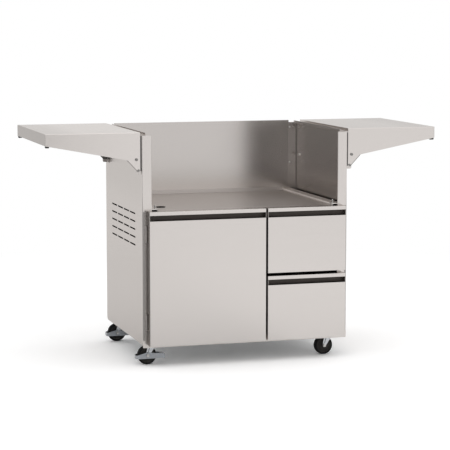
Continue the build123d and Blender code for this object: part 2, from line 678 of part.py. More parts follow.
def caster_fork():
    half_crown = CROWN_RADIUS - FORK_STEEL
    top_edge = Line((-half_crown, crown_top), (half_crown, crown_top)).edge()
    boss = Pos(-TRAIL, WHEEL_RADIUS) * Circle(FORK_BOSS_RADIUS)
    leg = make_hull([top_edge] + list(boss.edges()))
    fork = along_y(leg, fork_inside, fork_outside) + along_y(leg, -fork_outside, -fork_inside)
    fork -= [fork_crease(-fork_outside, 1), fork_crease(fork_outside, -1)]
    fork += rod_z(CROWN_RADIUS, 0, 0, crown_bottom, crown_top)
    fork -= rod_y(AXLE_RADIUS + PIN_CLEAR, -TRAIL, WHEEL_RADIUS, -fork_outside, fork_outside)
    return fork - rod_z(KING_PIN_RADIUS + PIN_CLEAR, 0, 0, crown_bottom, crown_top)


def caster_axle():
    grip = fork_outside + BAIL_CLEAR + BAIL_STEEL + BAIL_CLEAR
    axle = rod_y(AXLE_RADIUS, -TRAIL, WHEEL_RADIUS, -grip, grip)
    nut = Pos(-TRAIL, WHEEL_RADIUS) * RegularPolygon(AXLE_HEAD_RADIUS, 6)
    axle += along_y(nut, grip, grip + AXLE_HEAD)
    return axle + rod_y(AXLE_HEAD_RADIUS, -TRAIL, WHEEL_RADIUS, -grip - AXLE_HEAD, -grip)


def wheel_core():
    """Core of the wheel, turned about its axle: hub, web and rim."""
    rim_outer = WHEEL_RADIUS - TYRE_THICK
    rim_inner = rim_outer - RIM_THICK
    bore = AXLE_RADIUS + PIN_CLEAR
    hub = fork_inside - HUB_CLEAR
    section = panel_face((bore, HUB_RADIUS), (-hub, hub))
    section += panel_face((bore, rim_outer), (-WEB_THICK / 2, WEB_THICK / 2))
    section += panel_face((rim_inner, rim_outer), (-WHEEL_WIDTH / 2, WHEEL_WIDTH / 2))
    return turned(section)


def wheel_tyre():
    half = WHEEL_WIDTH / 2
    section = panel_face((WHEEL_RADIUS - TYRE_THICK, WHEEL_RADIUS), (-half, half))
    tread = section.vertices().sort_by(Axis.X)[-2:]
    return turned(fillet(tread, TYRE_ROUND))


def turned(section):
    """Revolve a section drawn as (radius, width) about the wheel's axle."""
    upright = Plane(origin=(-TRAIL, 0, WHEEL_RADIUS), x_dir=(1, 0, 0), z_dir=(0, 0, 1)) * section
    return revolve(upright, Axis((-TRAIL, 0, WHEEL_RADIUS), (0, 1, 0)))


def brake_bail():
    """Bail that swings on the axle outside the fork, with a tab at one end and a ribbed pedal."""
    inner = fork_outside + BAIL_CLEAR
    outer = inner + BAIL_STEEL
    short_end = -TRAIL - BAIL_SHORT
    long_end = -TRAIL + BAIL_LONG
    low = WHEEL_RADIUS - BAIL_BELOW
    peak = WHEEL_RADIUS + BAIL_PEAK
    tread_top = WHEEL_RADIUS + BAIL_TREAD
    outline = panel_face((short_end, long_end), (-outer, outer))
    outline = fillet(outline.vertices(), BAIL_ROUND)
    within = panel_face((short_end + BAIL_STEEL, long_end - BAIL_STEEL), (-inner, inner))
    ring = outline - fillet(within.vertices(), BAIL_ROUND - BAIL_STEEL)
    side = Polygon((short_end, low), (long_end, low), (long_end, tread_top),
                   (-TRAIL + FORK_BOSS_RADIUS, peak), (-TRAIL - FORK_BOSS_RADIUS, peak),
                   (short_end, WHEEL_RADIUS), align=None)
    bail = along_z(ring, low, peak) & along_y(side, -outer, outer)
    tread_start = long_end - BAIL_PEDAL
    tread = outline & panel_face((tread_start, long_end), (-outer, outer))
    bail += along_z(tread, tread_top - BAIL_STEEL, tread_top)
    pitch = (BAIL_PEDAL - BAIL_ROUND) / BAIL_RIBS
    for rib in range(BAIL_RIBS):
        rib_x = tread_start + rib * pitch
        bail += block((rib_x, rib_x + BAIL_RIB), (-inner, inner), (tread_top, tread_top + BAIL_RIB))
    return bail - rod_y(AXLE_RADIUS + PIN_CLEAR, -TRAIL, WHEEL_RADIUS, -outer, outer)


# Build every piece and write it

os.makedirs("parts", exist_ok=True)

right_panel = side_panel()
save("right_side_panel", *right_panel)
save("left_side_panel", *[other_side(piece) for piece in right_panel])
save("back_panel", *back_panel())
save("base_pan", base_pan())
save("base_front_ledge", base_front_ledge())
save("divider_panel", divider_panel())
save("front_cross_rail", front_cross_rail())
save("deck_pan", deck_pan())
save("deck_rails", *both_sides([deck_rail()]))
clip, stud = deck_clip()
save("deck_clips", *both_sides([clip]))
save("deck_clip_studs", *both_sides([stud]))

# Door
door_z = (FRONT_BOTTOM, front_top)
skin, channel, liner = front_pieces((door_left, door_right), door_z)
save("door_skin", skin)
save("door_pull_channel", channel)
save("door_liner", liner)
hinges = [door_hinge(height) for height in (FRONT_BOTTOM + HINGE_END, front_top - HINGE_END)]
hinge_names = ("door_hinge_frame_leaves", "door_hinge_door_leaves", "door_hinge_pins")
for name, pieces in zip(hinge_names, zip(*hinges)):
    save(name, *pieces)
magnet, strike = door_catch()
save("door_magnet", magnet)
save("door_strike_plate", strike)

# Drawers
lower_z = (FRONT_BOTTOM, FRONT_BOTTOM + drawer_height)
upper_z = (front_top - drawer_height, front_top)
outer_slides = []
support_rails = []
for drawer, front_z in (("upper_drawer", upper_z), ("lower_drawer", lower_z)):
    skin, channel, liner = front_pieces((drawer_left, drawer_right), front_z)
    save(f"{drawer}_skin", skin)
    save(f"{drawer}_pull_channel", channel)
    save(f"{drawer}_liner", liner)
    box_bottom = front_z[0] + BOX_RISE
    save(f"{drawer}_box", *drawer_box(box_bottom))
    slide_height = box_bottom + SLIDE_RISE
    outers, middles, inners = slide_members(slide_height)
    save(f"{drawer}_slide_middles", *middles)
    save(f"{drawer}_slide_inners", *inners)
    outer_slides += outers
    support_rails.append(slide_support_rail(slide_height))
save("drawer_slide_outers", *outer_slides)
save("slide_support_rails", *support_rails)

# Shelves
shelf_groups = {
    "shelf_pan": [shelf_pan()],
    "shelf_stiffener": [shelf_stiffener()],
    "shelf_bumpers": shelf_bumpers(),
    "shelf_lock_bolts": skirt_pins(LOCK_RADIUS, LOCK_HEAD_RADIUS, LOCK_HEAD, lock_x, lock_z),
}
for name, pieces in shelf_groups.items():
    save(f"right_{name}", *pieces)
    save(f"left_{name}", *[other_side(piece) for piece in pieces])
save("shelf_brackets", *both_sides(shelf_brackets()))
save("shelf_bracket_bolts", *both_sides(bracket_bolts()))
save("shelf_pivot_pins", *both_sides(shelf_pivot_pins()))

# Casters
stem_x = half_width - STEM_INSET
front_stem = post_front + STEM_INSET
rear_stem = body_rear - STEM_INSET
stems = {
    "front_left": (-stem_x, front_stem), "front_right": (stem_x, front_stem),
    "rear_left": (-stem_x, rear_stem), "rear_right": (stem_x, rear_stem),
}
caster_pieces = {"fork": [caster_fork()], "axle": [caster_axle()], "wheel": [wheel_core(), wheel_tyre()]}
for corner, place in stems.items():
    for piece, shapes in caster_pieces.items():
        save(f"{corner}_caster_{piece}", *[Pos(*place) * shape for shape in shapes])
for corner in ("front_left", "rear_left"):
    save(f"{corner}_brake_bail", Pos(*stems[corner]) * brake_bail())
plate = caster_plate()
save("caster_plates", *[Pos(*place) * plate for place in stems.values()])
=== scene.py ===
import json
import math

import bmesh
import bpy
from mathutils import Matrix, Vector


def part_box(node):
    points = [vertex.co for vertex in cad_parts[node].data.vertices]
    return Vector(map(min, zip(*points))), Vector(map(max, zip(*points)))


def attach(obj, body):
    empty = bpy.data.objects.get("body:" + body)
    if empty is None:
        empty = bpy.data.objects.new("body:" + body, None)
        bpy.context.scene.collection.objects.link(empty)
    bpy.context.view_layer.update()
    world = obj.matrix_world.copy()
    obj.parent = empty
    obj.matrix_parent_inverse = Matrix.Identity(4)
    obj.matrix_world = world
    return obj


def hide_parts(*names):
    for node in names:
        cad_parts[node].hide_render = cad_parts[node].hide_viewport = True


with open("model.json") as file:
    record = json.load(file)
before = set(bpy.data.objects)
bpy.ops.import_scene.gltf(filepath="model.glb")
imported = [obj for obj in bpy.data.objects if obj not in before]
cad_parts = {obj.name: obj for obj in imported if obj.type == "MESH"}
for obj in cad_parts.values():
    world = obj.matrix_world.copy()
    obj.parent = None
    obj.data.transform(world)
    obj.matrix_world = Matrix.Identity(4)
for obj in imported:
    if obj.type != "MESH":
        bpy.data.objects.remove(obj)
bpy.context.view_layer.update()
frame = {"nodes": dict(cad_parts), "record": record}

nodes = frame["nodes"]

# Places on the cart, in metres, from the frame

SHEET = 0.0015             # side panels, deck and shelves
SKIN = SHEET / 3           # depth that counts as the face of a sheet
SHARP = 0.0004             # shortest fade between two tints
DECK_LIP = 0.007           # rise of the deck's side lips
BOX_SHEET = 0.0012         # drawer boxes
PLATE_STEEL = 0.0025       # caster plates
PLATE_HALF = 0.040         # from a caster's stem to its plate's edges

panel_low, panel_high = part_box("right_side_panel")
half_width = panel_high.x
wall_inside = half_width - SHEET
post_face = panel_low.y
flange_back = panel_high.y
deck_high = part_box("deck_pan")[1]
lip_inside = deck_high.x - SHEET
lip_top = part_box("deck_rails")[1].z
deck_top = lip_top - DECK_LIP
shelf_low, shelf_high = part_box("right_shelf_pan")


# Node trees

class Wire:
    """A node's output, usable in sums with numbers and other wires."""

    def __init__(self, tree, socket):
        self.tree = tree
        self.socket = socket

    def sum(self, operation, first, second):
        return self.tree.node("ShaderNodeMath", {"operation": operation}, {0: first, 1: second})

    def __add__(self, other):
        return self.sum("ADD", self, other)

    def __radd__(self, other):
        return self.sum("ADD", other, self)

    def __sub__(self, other):
        return self.sum("SUBTRACT", self, other)

    def __rsub__(self, other):
        return self.sum("SUBTRACT", other, self)

    def __mul__(self, other):
        return self.sum("MULTIPLY", self, other)

    def __rmul__(self, other):
        return self.sum("MULTIPLY", other, self)

    def __truediv__(self, other):
        return self.sum("DIVIDE", self, other)

    def __rtruediv__(self, other):
        return self.sum("DIVIDE", other, self)


class Tree:
    """A node tree, filled one node at a time."""

    def __init__(self, links):
        self.links = links
        links.nodes.clear()

    def node(self, kind, settings=None, sockets=None, output=0):
        """Add a node: its settings first, then the values or wires of its sockets."""
        made = self.links.nodes.new(kind)
        for name, value in (settings or {}).items():
            setattr(made, name, value)
        for key, value in (sockets or {}).items():
            if isinstance(value, Wire):
                self.links.links.new(value.socket, made.inputs[key])
            else:
                made.inputs[key].default_value = value
        return Wire(self, made.outputs[output]) if made.outputs else None

    def vector(self, operation, *values, output=0):
        """Sum on vectors."""
        settings = {"operation": operation}
        return self.node("ShaderNodeVectorMath", settings, dict(enumerate(values)), output)


class Finish(Tree):
    """Node tree of a material or the world."""

    def __init__(self, owner):
        self.owner = owner
        owner.use_nodes = True
        super().__init__(owner.node_tree)

    def place(self, stretch):
        """Object coordinates, stretched along each axis."""
        here = self.node("ShaderNodeTexCoord", output="Object")
        return self.node("ShaderNodeMapping", {}, {"Vector": here, "Scale": stretch})

    def along(self, axis):
        """Distance along one axis of the object."""
        here = self.node("ShaderNodeTexCoord", output="Object")
        return self.node("ShaderNodeSeparateXYZ", {}, {"Vector": here}, output=axis)

    def out_from_middle(self):
        """Distance from the middle plane, to either side."""
        return self.node("ShaderNodeMath", {"operation": "ABSOLUTE"}, {0: self.along("X")})

    def noise(self, stretch, detail=3.0, rough=0.5):
        """Noise with as many patches a metre as the stretch says, alike or for each axis."""
        by_axis = stretch if isinstance(stretch, list) else [stretch] * 3
        sockets = {"Vector": self.place(by_axis), "Scale": 1.0, "Detail": detail, "Roughness": rough}
        return self.node("ShaderNodeTexNoise", {}, sockets)

    def limits(self, value, low, high, to_low=0.0, to_high=1.0):
        """Value between two limits, spread over another range and held at its ends."""
        sockets = {"Value": value, "From Min": low, "From Max": high, "To Min": to_low, "To Max": to_high}
        return self.node("ShaderNodeMapRange", {"clamp": True}, sockets)

    def past(self, value, edge, fade=SHARP):
        """0 up to an edge, then 1 after a fade."""
        return self.limits(value, edge, edge + fade)

    def before(self, value, edge, fade=SHARP):
        """1 up to an edge, then 0 after a fade."""
        return self.limits(value, edge, edge + fade, 1.0, 0.0)

    def mix(self, share, first, second):
        """Colour between two colours."""
        sockets = {0: share, 6: first, 7: second}
        return self.node("ShaderNodeMix", {"data_type": "RGBA"}, sockets, output=2)

    def bump(self, height, strength, distance, normal=None):
        """Normal of a relief, over another normal where one is given."""
        sockets = {"Height": height, "Strength": strength, "Distance": distance}
        if normal:
            sockets["Normal"] = normal
        return self.node("ShaderNodeBump", {}, sockets)

    def surface(self, **sockets):
        """End a material in one shader and give the material."""
        labels = {key: key.replace("_", " ").title().replace("Ior", "IOR") for key in sockets}
        named = {labels[key]: value for key, value in sockets.items()}
        shader = self.node("ShaderNodeBsdfPrincipled", {}, named)
        self.node("ShaderNodeOutputMaterial", {}, {"Surface": shader})
        return self.owner


class Pattern(Tree):
    """Geometry Nodes tree with named inputs."""

    def __init__(self, name):
        super().__init__(bpy.data.node_groups.new(name, "GeometryNodeTree"))
        self.inputs = {}

    def size(self, label, kind="NodeSocketFloat"):
        """Add a named input."""
        socket = self.links.interface.new_socket(label, in_out="INPUT", socket_type=kind)
        self.inputs[label] = socket.identifier
        return self.node("NodeGroupInput", output=label)

    def close(self, geometry):
        """End the tree: plain mesh with its finish."""
        plain = self.node("GeometryNodeRealizeInstances", {}, {"Geometry": geometry})
        finish = self.size("Finish", "NodeSocketMaterial")
        done = self.node("GeometryNodeSetMaterial", {}, {"Geometry": plain, "Material": finish})
        self.links.interface.new_socket("Geometry", in_out="OUTPUT", socket_type="NodeSocketGeometry")
        self.node("NodeGroupOutput", {}, {0: done})
        return self


def new_finish(name):
    return Finish(bpy.data.materials.new(name))


def shade(colour, amount):
    """Opaque colour, lighter or darker by an amount."""
    return tuple(channel * amount for channel in colour) + (1.0,)


def place_in_scene(name, data):
    """Object that shows a mesh, lamp or camera."""
    made = bpy.data.objects.new(name, data)
    bpy.context.scene.collection.objects.link(made)
    return made


# Places on the sheets that have a tint of their own, painted shade or painted light, or a rounded edge

FOLD_REACH = 0.0065        # painted shade in the inner bend of a rear flange, from the panel's outer face
FOLD_DEPTH = 0.0085        # and from its back
FOLD_FADE = 0.003
POST_EDGE = 0.0105         # painted shade on the outer strip of a post's front face
POST_EDGE_FADE = 0.002
POST_TOP_FADE = 0.004
WALL_FOOT = 0.074          # fade of the painted shade up a side panel's inner face
BACK_FOOT = 0.084          # fade of the painted light up the back panel
SIDE_SHADE = (0.62, 0.70)  # heights between which a side panel's outer face darkens with painted shade
SHELF_TOP_SHADE = (0.64, 0.74)  # distances out between which a shelf's top darkens with painted shade
LIP_ROUND = 0.004          # radius on the deck's side lips
LIP_ROUND_FROM = 0.350     # distance out past which the deck has such lips
LIP_ROUND_FADE = 0.002
EAR_RADIUS = 0.0065        # of a shelf's ear, about its pivot
EAR_ROOT = 0.054           # where the skirt turns down into its ear, from the shelf's inner end
ROOT_DROP = 0.105          # and below the shelf's top
PIVOT_DROP = 0.146         # pivot below the shelf's top
EAR_EDGE = 0.0029          # painted shade along an ear's slanted edge
EAR_EDGE_FADE = 0.001
EAR_ROOT_FADE = 0.002

pivot_x = shelf_low.x + EAR_RADIUS
pivot_z = shelf_high.z - PIVOT_DROP
root_z = shelf_high.z - ROOT_DROP
ear_run = shelf_low.x + EAR_ROOT - pivot_x
ear_rise = root_z - pivot_z
ear_lean = math.atan2(ear_rise, ear_run) - math.acos(EAR_RADIUS / math.hypot(ear_run, ear_rise))


def closed_inside(steel):
    """1 on faces inside the compartments under the deck, which are painted darker as shade, and 0 elsewhere.
    """
    depth = steel.along("Y")
    across = steel.before(steel.out_from_middle(), half_width - SKIN)
    behind_front = steel.past(depth, post_face + 2 * SKIN)
    before_back = steel.before(depth, flange_back - 2 * SKIN)
    under_deck = steel.before(steel.along("Z"), deck_top - 2 * SKIN)
    return across * behind_front * before_back * under_deck


def rear_fold_shade(steel):
    """1 in the inner bend of a side panel's rear flange, which gets painted shade."""
    out = steel.out_from_middle()
    in_bend = steel.past(out, half_width - FOLD_REACH, FOLD_FADE)
    inner = steel.before(out, wall_inside + SKIN)
    return in_bend * inner * steel.past(steel.along("Y"), flange_back - FOLD_DEPTH, FOLD_FADE)


def deck_lip_highlight(steel):
    """1 on the tops of the deck's side lips and of the rails beside them, which get a painted highlight."""
    on_top = steel.past(steel.along("Z"), lip_top - 2 * SKIN)
    return on_top * steel.past(steel.out_from_middle(), lip_inside - SHEET)


def post_edge_shade(steel):
    """1 on the outer edge of a post's front face, beside the door and drawers, which gets painted shade."""
    outer = steel.past(steel.out_from_middle(), half_width - POST_EDGE, POST_EDGE_FADE)
    forward = steel.before(steel.along("Y"), post_face + SKIN)
    return outer * forward * steel.before(steel.along("Z"), deck_top - 2 * SHEET, POST_TOP_FADE)


def wall_foot_shade(steel):
    """1 where a side panel's inner face goes down past the deck, 0 a little above it: painted shade at the
    wall's foot.
    """
    out = steel.out_from_middle()
    inner = steel.past(out, wall_inside - SHEET) * steel.before(out, wall_inside + SKIN)
    return inner * steel.before(steel.along("Z"), lip_top, WALL_FOOT)


def back_foot_light(steel):
    """1 at the foot of the back panel, 0 a hand's width above the deck: painted light that lifts the foot."""
    return steel.before(steel.along("Z"), lip_top, BACK_FOOT)


def deck_rear_lip_shade(steel):
    """1 on the deck's rear lip, which gets painted shade."""
    return steel.past(steel.along("Y"), deck_high.y - 4 * SHEET)


def under_shelf_shade(steel):
    """1 on a side panel's outer face high up, behind the shelf's ears, which gets painted shade."""
    outer = steel.past(steel.out_from_middle(), half_width - SKIN)
    return outer * steel.limits(steel.along("Z"), *SIDE_SHADE)


def ear_edge_shade(steel):
    """1 along the slanted cut edge of a shelf's ears, which gets painted shade."""
    sideways = math.cos(ear_lean) * (steel.out_from_middle() - pivot_x)
    upwards = math.sin(ear_lean) * (steel.along("Z") - pivot_z)
    at_edge = steel.past(sideways + upwards, EAR_RADIUS - EAR_EDGE, EAR_EDGE_FADE)
    return at_edge * steel.before(steel.along("Z"), root_z - EAR_ROOT_FADE, EAR_ROOT_FADE)


def lip_round(steel):
    """Height in metres that rounds the top edge of the deck's side lips."""
    out = steel.out_from_middle()
    on_top = steel.limits(out, lip_inside, lip_inside + LIP_ROUND, 0.0, LIP_ROUND)
    on_side = steel.limits(steel.along("Z"), lip_top - LIP_ROUND, lip_top, 0.0, LIP_ROUND)
    return on_top - steel.past(out, LIP_ROUND_FROM, LIP_ROUND_FADE) * on_side


def shelf_end_shade(steel):
    """1 on the shelves' end faces, which get painted shade."""
    return steel.past(steel.out_from_middle(), shelf_high.x - SHEET)


def shelf_top(steel):
    """1 on the shelves' tops: painted light on the left shelf, painted shade on the right one."""
    return steel.past(steel.along("Z"), shelf_high.z - 2 * SKIN)


def shelf_outer_top_shade(steel):
    """1 on the outer part of the shelves' tops, which gets painted shade."""
    return shelf_top(steel) * steel.limits(steel.out_from_middle(), *SHELF_TOP_SHADE)


# Finishes

STAINLESS = (0.637, 0.60, 0.577)
BASE_GREY = (0.584, 0.588, 0.588)
GRAZING = (0.75, 0.735, 0.72, 1.0)
ZINC = (0.58, 0.595, 0.615)
# darker zinc: painted shade for the two left brake bails
SHADED_ZINC = (0.36, 0.375, 0.40)
BRIGHT_STEEL = (0.55, 0.54, 0.525)
DARK_STEEL = (0.24, 0.232, 0.225)
# near-black: painted shade of the recessed pull channels
PULL_SHADE_BLACK = (0.058, 0.050, 0.045)
# dark grey: painted shade on the shelf brackets above their lip
BRACKET_SHADE_GREY = (0.10, 0.095, 0.09)
TYRE_BLACK = (0.006, 0.006, 0.006)
CORE_BLACK = (0.022, 0.020, 0.018)
BUMPER_BLACK = (0.022, 0.022, 0.022)
CATCH_BLACK = (0.04, 0.04, 0.041)

GRAIN_X, GRAIN_Y, GRAIN_Z = range(3)
FINE_LINES = (1400.0, 9.0)     # brush marks a metre, across the grain and along it
BROAD_LINES = (300.0, 2.4)
HANDLED = 2.4                  # patches a metre
SATIN = 0.24                   # roughness
BRACKET_STEEL_LIP = 0.011           # plain steel lip at the foot of a shelf bracket, below the painted shade
BRACKET_FADE = 0.002


def brushed(grain, lines):
    """Stretch of a noise along the grain."""
    across, along = lines
    stretch = [across] * 3
    stretch[grain] = along
    return stretch


def brushed_stainless(name, grain, depth=1.0, rough=SATIN, tints=(), rounding=None, tone=STAINLESS):
    """Satin sheet brushed along one axis, with tints of painted shade and painted light at some places and a
    rounded edge where one is given.
    """
    steel = new_finish(name)
    fine = steel.noise(brushed(grain, FINE_LINES), detail=2.0)
    streaks = steel.noise(brushed(grain, BROAD_LINES), detail=3.0, rough=0.55)
    cloud = steel.noise(HANDLED, detail=2.0)
    lines = 0.4 * streaks + 0.6 * fine
    tint = shade(tone, depth)[:3]
    colour = steel.mix(steel.limits(lines, 0.3, 0.7), shade(tint, 0.98), shade(tint, 1.02))
    for place_of, amount in tints:
        colour = steel.mix(place_of(steel), colour, shade(tint, amount))
    handled = steel.limits(cloud, 0.35, 0.7, -0.012, 0.012)
    roughness = rough + handled + 0.06 * (lines - 0.5)
    normal = steel.bump(lines, strength=0.03, distance=0.0003)
    if rounding:
        normal = steel.bump(rounding(steel), strength=1.0, distance=1.0, normal=normal)
    return steel.surface(base_color=colour, metallic=1.0, roughness=roughness, specular_tint=GRAZING,
                         normal=normal)


def zinc_plate(name, tint):
    """Bright zinc on pressed steel, with a faint spangle."""
    zinc = new_finish(name)
    sockets = {"Vector": zinc.place([160.0] * 3), "Scale": 1.0, "Randomness": 1.0}
    spangle = zinc.node("ShaderNodeTexVoronoi", {}, sockets, output="Color")
    flake = zinc.node("ShaderNodeRGBToBW", {}, {"Color": spangle})
    cloud = zinc.noise(26.0, detail=4.0, rough=0.6)
    share = zinc.limits(0.5 * flake + 0.5 * cloud, 0.3, 0.75)
    colour = zinc.mix(share, shade(tint, 0.86), shade(tint, 1.08))
    return zinc.surface(base_color=colour, metallic=1.0, roughness=0.14 + 0.12 * cloud,
                        normal=zinc.bump(cloud, strength=0.08, distance=0.0006))


def machined_steel(name, tint):
    """Plain bolts, pins and studs."""
    steel = new_finish(name)
    marks = steel.noise(500.0)
    cloud = steel.noise(60.0, detail=2.0)
    colour = steel.mix(steel.limits(cloud, 0.3, 0.7), shade(tint, 0.88), shade(tint, 1.06))
    return steel.surface(base_color=colour, metallic=1.0, roughness=0.22 + 0.18 * marks,
                         normal=steel.bump(marks, strength=0.06, distance=0.0003))


def painted_shade_coat(name, tint):
    """Satin near-black on formed steel: painted shade of the pull channels."""
    coat = new_finish(name)
    grain = coat.noise(700.0, rough=0.6)
    cloud = coat.noise(18.0)
    colour = coat.mix(coat.limits(cloud, 0.3, 0.7), shade(tint, 0.9), shade(tint, 1.1))
    return coat.surface(base_color=colour, metallic=0.9, roughness=0.36 + 0.1 * cloud,
                        normal=coat.bump(grain, strength=0.1, distance=0.0002))


def bracket_plate(name, tint):
    """Dark grey painted shade above a plain steel lower lip."""
    plate = new_finish(name)
    grain = plate.noise(700.0, rough=0.6)
    cloud = plate.noise(18.0)
    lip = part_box("shelf_brackets")[0].z + BRACKET_STEEL_LIP
    shaded_above_lip = plate.past(plate.along("Z"), lip, BRACKET_FADE)
    dark = plate.mix(plate.limits(cloud, 0.3, 0.7), shade(tint, 0.8), shade(tint, 1.2))
    colour = plate.mix(shaded_above_lip, shade(STAINLESS, 0.98), dark)
    return plate.surface(base_color=colour, metallic=1.0 - shaded_above_lip, roughness=0.34 + 0.1 * cloud,
                         normal=plate.bump(grain, strength=0.1, distance=0.0002))


def moulded_rubber(name, tint, rough, gloss=0.3):
    """Rubber or plastic with a fine grit and some dust."""
    rubber = new_finish(name)
    grit = rubber.noise(900.0, rough=0.6)
    dust = rubber.noise(45.0, detail=4.0, rough=0.65)
    colour = rubber.mix(rubber.limits(dust, 0.42, 0.75), shade(tint, 0.85), shade(tint, 1.9))
    return rubber.surface(base_color=colour, roughness=rough + 0.16 * dust, specular_ior_level=gloss,
                          normal=rubber.bump(grit, strength=0.25, distance=0.0003))


# Painted shade inside the closed compartments under the deck
compartment_shade = (closed_inside, 0.3)
# Each tint below is painted shade, except the lighter back panel foot, the deck lip highlight and the left
# shelf's lighter top, which are painted light
upright_tints = (compartment_shade, (wall_foot_shade, 0.5), (rear_fold_shade, 0.55), (post_edge_shade, 0.5), (under_shelf_shade, 0.94))
back_tints = ((back_foot_light, 1.15), compartment_shade)
deck_tints = (compartment_shade, (deck_rear_lip_shade, 0.8), (deck_lip_highlight, 1.5))
shelf_edges = ((shelf_end_shade, 0.66), (ear_edge_shade, 0.38))
# The left shelf's tops are painted lighter and the right shelf's darker; their outer parts get painted shade
left_shelf_tints = ((shelf_top, 1.17), (shelf_outer_top_shade, 0.98)) + shelf_edges
right_shelf_tints = ((shelf_top, 0.97), (shelf_outer_top_shade, 0.88)) + shelf_edges

# The back panel's lower depth is painted shade of the bay; the left shelf's depth, above the right one's, is
# painted light
upright_sheet = brushed_stainless("brushed_stainless_upright", GRAIN_Z, 1.02, tints=upright_tints)
back_sheet = brushed_stainless("brushed_stainless_back", GRAIN_Z, 0.86, 0.215, back_tints)
front_sheet = brushed_stainless("brushed_stainless_fronts", GRAIN_X, 1.02)
deck_sheet = brushed_stainless("brushed_stainless_deck", GRAIN_Y, 1.05, 0.30, deck_tints, lip_round)
left_shelf_sheet = brushed_stainless("brushed_stainless_left_shelf", GRAIN_Y, 1.06, tints=left_shelf_tints)
right_shelf_sheet = brushed_stainless("brushed_stainless_right_shelf", GRAIN_Y, 1.03, tints=right_shelf_tints)
base_sheet = brushed_stainless("brushed_stainless_base", GRAIN_Y, tone=BASE_GREY)
inner_sheet = brushed_stainless("mill_finish_stainless", GRAIN_X, 0.92, 0.32)
hinge_steel = brushed_stainless("hinge_steel", GRAIN_Z, 0.64, 0.3)
zinc_steel = zinc_plate("zinc_plated_steel", ZINC)
# Darker zinc on the two left brake bails is painted shade
shaded_brake_zinc = zinc_plate("zinc_brake_painted_shade", SHADED_ZINC)
bolt_steel = machined_steel("bolt_steel", BRIGHT_STEEL)
dark_bolt_steel = machined_steel("dark_bolt_steel", DARK_STEEL)
# Near-black of the pull channels is painted shade of the recess
pull_painted_shade = painted_shade_coat("pull_channel_painted_shade", PULL_SHADE_BLACK)
# Dark grey of the shelf brackets above their lip is painted shade of the gap
bracket_painted_shade = bracket_plate("bracket_grey_painted_shade", BRACKET_SHADE_GREY)
tyre_rubber = moulded_rubber("tyre_rubber", TYRE_BLACK, 0.6, 0.12)
core_plastic = moulded_rubber("wheel_core_plastic", CORE_BLACK, 0.5, 0.22)
bumper_rubber = moulded_rubber("bumper_rubber", BUMPER_BLACK, 0.5)
catch_plastic = moulded_rubber("catch_plastic", CATCH_BLACK, 0.38)

finish_of_slot = {
    "stainless": front_sheet,
    "zinc_steel": zinc_steel,
    "fastener_steel": bolt_steel,
    "black_coat": pull_painted_shade,
    "black_rubber": bumper_rubber,
    "caster_tread": tyre_rubber,
    "catch_plastic": catch_plastic,
}
own_finishes = [
    (upright_sheet, ("left_side_panel", "right_side_panel", "divider_panel")),
    (back_sheet, ("back_panel",)),
    (deck_sheet, ("deck_pan", "deck_rails")),
    (base_sheet, ("base_pan",)),
    (left_shelf_sheet, ("left_shelf_pan",)),
    (right_shelf_sheet, ("right_shelf_pan",)),
    (bracket_painted_shade, ("shelf_brackets",)),
    (hinge_steel, ("door_hinge_frame_leaves", "door_hinge_door_leaves", "door_hinge_pins")),
    (dark_bolt_steel, ("shelf_pivot_pins", "left_shelf_lock_bolts", "right_shelf_lock_bolts")),
    (shaded_brake_zinc, ("front_left_brake_bail", "rear_left_brake_bail")),
    (inner_sheet, ("door_liner", "upper_drawer_liner", "lower_drawer_liner")),
    (inner_sheet, ("upper_drawer_box", "lower_drawer_box", "slide_support_rails")),
    (inner_sheet, ("left_shelf_stiffener", "right_shelf_stiffener")),
]
finish_of_node = {node: finish for finish, names in own_finishes for node in names}
for part in frame["record"]["subparts"]:
    node = part["node"]
    finish = finish_of_node.get(node, finish_of_slot[part["material_slot"]])
    nodes[node].data.materials.clear()
    nodes[node].data.materials.append(finish)


# Caster wheels and grommet

TURNS = 72
SMOOTH_UP_TO = math.radians(38)
X_WAY = Vector((1.0, 0.0, 0.0))
Y_WAY = Vector((0.0, 1.0, 0.0))
Z_WAY = Vector((0.0, 0.0, 1.0))
ABOUT_Y = (Z_WAY, X_WAY, Y_WAY)
ABOUT_Z = (X_WAY, Y_WAY, Z_WAY)
CORE_DISC = 0.0084         # half width of a wheel core between its rings
CORE_RING = 0.0093         # and at its rings

# Sections of (radius, width), from the middle out
TYRE_HALF = [(0.0305, 0.0110), (0.0312, 0.0117), (0.0325, 0.0120), (0.0340, 0.0119),
             (0.0354, 0.0111), (0.0365, 0.0096), (0.0371, 0.0070), (0.0375, 0.0030)]
CORE_HUB = [(0.00405, 0.0135), (0.0080, 0.0135), (0.0092, 0.0128), (0.0100, 0.0096), (0.0115, CORE_DISC)]
CORE_RIM = [(0.0258, CORE_DISC), (0.0266, 0.0104), (0.0274, 0.0112), (0.0298, 0.0112), (0.0304, 0.0106)]
CORE_RINGS = [(0.0155, 0.0160, 0.0176, 0.0181), (0.0218, 0.0223, 0.0239, 0.0244)]
GROMMET_SECTION = [(0.0154, 0.0001), (0.0154, 0.0016), (0.0159, 0.0021), (0.0178, 0.0021),
                   (0.0186, 0.0014), (0.0188, 0.0001)]
GAS_HOLE = (-0.312, -0.1575)   # centre of the gas line's hole in the deck


def core_half():
    """Half section of a wheel core: hub, raised rings and rim."""
    ring_widths = (CORE_DISC, CORE_RING, CORE_RING, CORE_DISC)
    rings = [point for radii in CORE_RINGS for point in zip(radii, ring_widths)]
    return CORE_HUB + rings + CORE_RIM


def both_sides(half_section):
    """Closed section from its half."""
    return half_section + [(radius, -width) for radius, width in reversed(half_section)]


